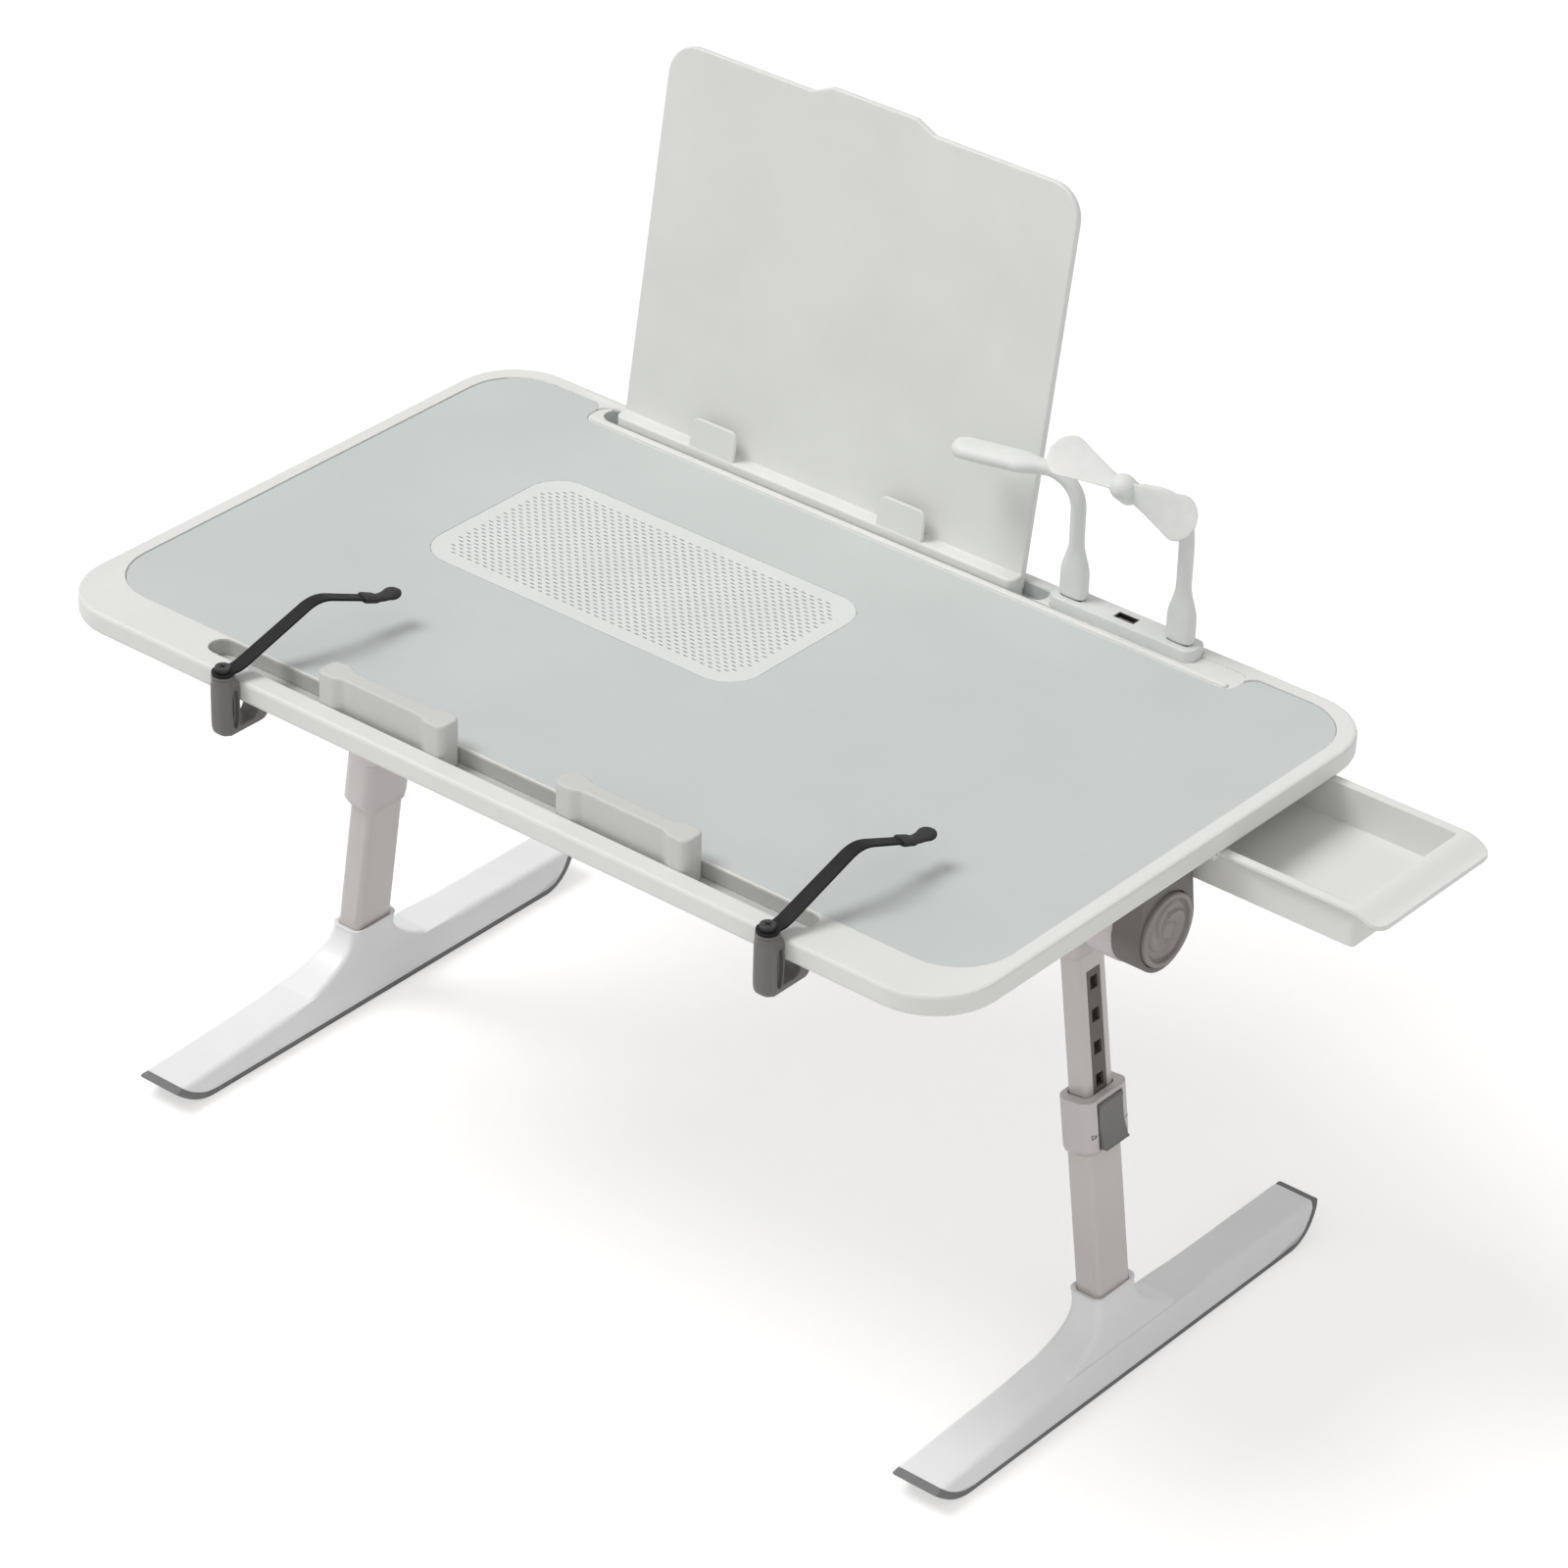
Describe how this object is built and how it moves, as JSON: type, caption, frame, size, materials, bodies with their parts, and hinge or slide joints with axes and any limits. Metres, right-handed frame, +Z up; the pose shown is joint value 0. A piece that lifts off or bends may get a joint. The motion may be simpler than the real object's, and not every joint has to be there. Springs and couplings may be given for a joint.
{
  "type": "folding bed table",
  "caption": "Tray-edged laptop table on two splayed telescopic legs that fold flat, with tilt pivots, drawer, tablet board, book stops, page clips and a USB hub with lamp and fan.",
  "frame": {"origin": "floor level under the centre of the whole part's box", "axes": "+X along the desk to the drawer side, +Y from the sitter's edge to the tablet board, +Z up"},
  "size_m": [0.741, 0.4278, 0.5853],
  "materials": {
    "white_shell": "satin moulded",
    "grey_inset": "fine matt texture",
    "vent_white": "satin moulded",
    "hub_shell": "semi-gloss",
    "leg_shell": "satin moulded",
    "tube_enamel": "satin powder coat",
    "taupe": "satin moulded",
    "dark_grey": "satin moulded",
    "bracket_grey": "satin moulded",
    "arm_black": "matt black",
    "rubber_grey": "matt",
    "steel": "plain",
    "fan_black": "matt",
    "circuit_green": "lacquered board",
    "silicone_white": "matt silicone"
  },
  "bodies": {
    "desk": {"tray_frame": "white_shell", "desk_panel": "grey_inset", "vent_panel": "vent_white", "underside_cover": "white_shell", "cooling_fan_frame": "fan_black", "hub_case": "hub_shell", "usb_port_left": "steel", "usb_port_middle": "steel", "usb_port_right": "steel", "hub_circuit_board": "circuit_green", "drawer_rail_front": "white_shell", "drawer_rail_back": "white_shell", "tilt_bracket_left": "taupe", "tilt_spring_left": "steel", "clip_bracket_left": "bracket_grey", "tilt_bracket_right": "taupe", "tilt_spring_right": "steel", "clip_bracket_right": "bracket_grey"},
    "cooling_rotor": {"cooling_fan_rotor": "fan_black"},
    "drawer": {"drawer_tray": "white_shell"},
    "tablet_board": {"tablet_board": "white_shell"},
    "lamp": {"lamp_body": "silicone_white", "lamp_plug": "steel"},
    "fan": {"fan_body": "silicone_white", "fan_plug": "steel"},
    "fan_blades": {"fan_blades": "silicone_white"},
    "stop_left": {"book_stop_left": "grey_inset"},
    "arm_left": {"page_arm_left": "arm_black", "arm_pad_left": "rubber_grey", "arm_screw_left": "steel"},
    "disc_left": {"tilt_button_left": "taupe"},
    "pivot_left": {"pivot_arm_left": "leg_shell", "fold_pin_left": "steel"},
    "leg_left": {"leg_head_left": "leg_shell", "inner_tube_left": "tube_enamel", "notch_strip_left": "dark_grey"},
    "foot_left": {"lower_tube_left": "tube_enamel", "collar_left": "leg_shell", "foot_left": "leg_shell", "foot_sole_left": "rubber_grey", "latch_pin_left": "steel", "latch_spring_left": "steel"},
    "latch_left": {"latch_button_left": "dark_grey"},
    "stop_right": {"book_stop_right": "grey_inset"},
    "arm_right": {"page_arm_right": "arm_black", "arm_pad_right": "rubber_grey", "arm_screw_right": "steel"},
    "disc_right": {"tilt_button_right": "taupe"},
    "pivot_right": {"pivot_arm_right": "leg_shell", "fold_pin_right": "steel"},
    "leg_right": {"leg_head_right": "leg_shell", "inner_tube_right": "tube_enamel", "notch_strip_right": "dark_grey"},
    "foot_right": {"lower_tube_right": "tube_enamel", "collar_right": "leg_shell", "foot_right": "leg_shell", "foot_sole_right": "rubber_grey", "latch_pin_right": "steel", "latch_spring_right": "steel"},
    "latch_right": {"latch_button_right": "dark_grey"}
  },
  "joints": [
    {"name": "cooling_spin", "type": "hinge", "parent": "desk", "child": "cooling_rotor", "pos_m": [-0.1345, 0.03226, 0.3425], "axis": [0, 0, 1], "continuous": true},
    {"name": "drawer_slide", "type": "slide", "parent": "desk", "child": "drawer", "axis": [-1, 0, 0], "range_m": [-0.015, 0.083]},
    {"name": "board_lift", "type": "slide", "parent": "desk", "child": "tablet_board", "axis": [0, 0, 1], "range_m": [0, 0.03]},
    {"name": "lamp_unplug", "type": "slide", "parent": "desk", "child": "lamp", "axis": [0, 0, 1], "range_m": [0, 0.03]},
    {"name": "fan_unplug", "type": "slide", "parent": "desk", "child": "fan", "axis": [0, 0, 1], "range_m": [0, 0.03]},
    {"name": "fan_spin", "type": "hinge", "parent": "fan", "child": "fan_blades", "pos_m": [0.1055, 0.15556, 0.4454], "axis": [0.2504, -0.7511, 0.6109], "continuous": true},
    {"name": "stop_left_slide", "type": "slide", "parent": "desk", "child": "stop_left", "axis": [1, 0, 0], "range_m": [-0.02, 0.03]},
    {"name": "stop_right_slide", "type": "slide", "parent": "desk", "child": "stop_right", "axis": [1, 0, 0], "range_m": [-0.03, 0.05]},
    {"name": "arm_left_swivel", "type": "hinge", "parent": "desk", "child": "arm_left", "pos_m": [-0.2275, -0.20734, 0.356], "axis": [0, 0, 1], "range_deg": [-20, 95]},
    {"name": "arm_right_swivel", "type": "hinge", "parent": "desk", "child": "arm_right", "pos_m": [0.1585, -0.20734, 0.356], "axis": [0, 0, -1], "range_deg": [-45, 80]},
    {"name": "tilt_right", "type": "hinge", "parent": "desk", "child": "pivot_right", "pos_m": [0.1965, 0.00726, 0.295], "axis": [1, 0, 0], "range_deg": [-36, 0]},
    {"name": "fold_right", "type": "hinge", "parent": "pivot_right", "child": "leg_right", "pos_m": [0.1965, 0.00726, 0.295], "axis": [0, 1, 0], "range_deg": [0, 97.5]},
    {"name": "height_right", "type": "slide", "parent": "leg_right", "child": "foot_right", "axis": [-0.1305, 0, 0.9914], "range_m": [0, 0.08]},
    {"name": "latch_right_press", "type": "hinge", "parent": "foot_right", "child": "latch_right", "pos_m": [0.22634, 0.00726, 0.1557], "axis": [0, 1, 0], "range_deg": [0, 11], "stiffness_Nm_per_rad": 0.05, "springref_deg": -11.46, "deforming": ["latch_spring_right"]},
    {"name": "disc_right_press", "type": "slide", "parent": "desk", "child": "disc_right", "axis": [-1, 0, 0], "range_m": [0, 0.003], "stiffness_N_per_m": 1500, "springref_m": -0.002, "deforming": ["tilt_spring_right"]},
    {"name": "tilt_left", "type": "hinge", "parent": "desk", "child": "pivot_left", "pos_m": [-0.2975, 0.00726, 0.295], "axis": [1, 0, 0], "range_deg": [-36, 0]},
    {"name": "fold_left", "type": "hinge", "parent": "pivot_left", "child": "leg_left", "pos_m": [-0.2975, 0.00726, 0.295], "axis": [0, -1, 0], "range_deg": [0, 97.5]},
    {"name": "height_left", "type": "slide", "parent": "leg_left", "child": "foot_left", "axis": [0.1305, 0, 0.9914], "range_m": [0, 0.08]},
    {"name": "latch_left_press", "type": "hinge", "parent": "foot_left", "child": "latch_left", "pos_m": [-0.32734, 0.00726, 0.1557], "axis": [0, -1, 0], "range_deg": [0, 11], "stiffness_Nm_per_rad": 0.05, "springref_deg": -11.46, "deforming": ["latch_spring_left"]},
    {"name": "disc_left_press", "type": "slide", "parent": "desk", "child": "disc_left", "axis": [1, 0, 0], "range_m": [0, 0.003], "stiffness_N_per_m": 1500, "springref_m": -0.002, "deforming": ["tilt_spring_left"]}
  ],
  "couplings": [
    {"joint": "tilt_left", "follows": "tilt_right", "ratio": 1}
  ]
}
